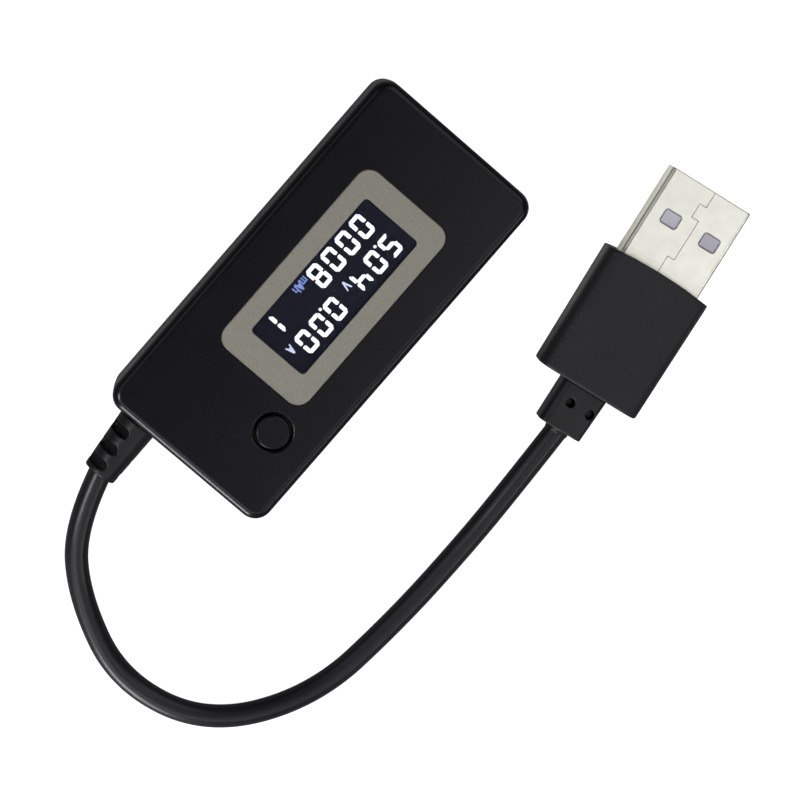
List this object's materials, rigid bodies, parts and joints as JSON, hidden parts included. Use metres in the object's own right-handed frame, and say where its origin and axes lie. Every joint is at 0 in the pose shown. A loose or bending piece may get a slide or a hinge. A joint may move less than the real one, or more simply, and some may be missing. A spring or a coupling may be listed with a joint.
{
  "type": "usb power meter",
  "caption": "Pocket USB power meter: flat case with a lit segment display, one round button, a USB-A socket in one end and a short cord to a USB-A plug.",
  "frame": {"origin": "bottom centre of the case, without the cord and its plug", "axes": "+X from the socket end to the cord end, +Y towards the top of the displayed text, +Z out of the display"},
  "size_m": [0.1011, 0.0545, 0.0132],
  "materials": {
    "case_black": "satin ABS",
    "bezel_grey": "fine grain",
    "window_clear": "clear acrylic",
    "polariser_dark": "gloss",
    "lcd_glass": "clear",
    "guide_white": "diffusing",
    "led_white": "gloss",
    "holder_black": "matt",
    "strip_rubber": "matt",
    "button_black": "satin",
    "switch_black": "matt",
    "switch_steel": "plain",
    "board_green": "solder mask",
    "chip_black": "matt",
    "chip_tan": "matt",
    "socket_steel": "nickel plated",
    "socket_white": "moulded",
    "contact_gold": "gold flash",
    "wire_red": "PVC",
    "wire_white": "PVC",
    "wire_green": "PVC",
    "wire_black": "PVC",
    "relief_black": "satin PVC",
    "cord_black": "semi-gloss PVC",
    "overmold_black": "fine texture",
    "plug_nickel": "nickel plated",
    "plug_grey": "moulded"
  },
  "bodies": {
    "meter": {"bottom_shell": "case_black", "top_shell": "case_black", "bezel_plate": "bezel_grey", "window_pane": "window_clear", "lcd_front_polariser": "polariser_dark", "lcd_front_glass": "lcd_glass", "lcd_rear_glass": "lcd_glass", "backlight_guide": "guide_white", "backlight_leds": "led_white", "lcd_holder": "holder_black", "lcd_connector_strip": "strip_rubber", "tact_switch_base": "switch_black", "tact_switch_cover": "switch_steel", "tact_switch_dome": "switch_steel", "circuit_board": "board_green", "microcontroller": "chip_black", "memory_chip": "chip_black", "voltage_regulator": "chip_black", "shunt_resistor": "chip_black", "chip_capacitors": "chip_tan", "chip_resistors": "chip_black", "usb_socket_shell": "socket_steel", "usb_socket_insulator": "socket_white", "usb_socket_contacts": "contact_gold", "wire_red": "wire_red", "wire_white": "wire_white", "wire_green": "wire_green", "wire_black": "wire_black", "case_strain_relief": "relief_black", "cord": "cord_black", "plug_strain_relief": "relief_black", "plug_overmold": "overmold_black", "plug_shell": "plug_nickel", "plug_insulator": "plug_grey", "plug_contacts": "contact_gold"},
    "button": {"mode_button": "button_black"},
    "plunger": {"tact_switch_plunger": "switch_black"}
  },
  "joints": [
    {"name": "button_press", "type": "slide", "parent": "meter", "child": "button", "axis": [0, 0, -1], "range_m": [0, 0.0003], "stiffness_N_per_m": 4000},
    {"name": "plunger_press", "type": "slide", "parent": "meter", "child": "plunger", "axis": [0, 0, -1], "range_m": [0, 0.0003], "stiffness_N_per_m": 500, "deforming": ["tact_switch_dome"]}
  ],
  "couplings": [
    {"joint": "plunger_press", "follows": "button_press", "ratio": 1}
  ]
}
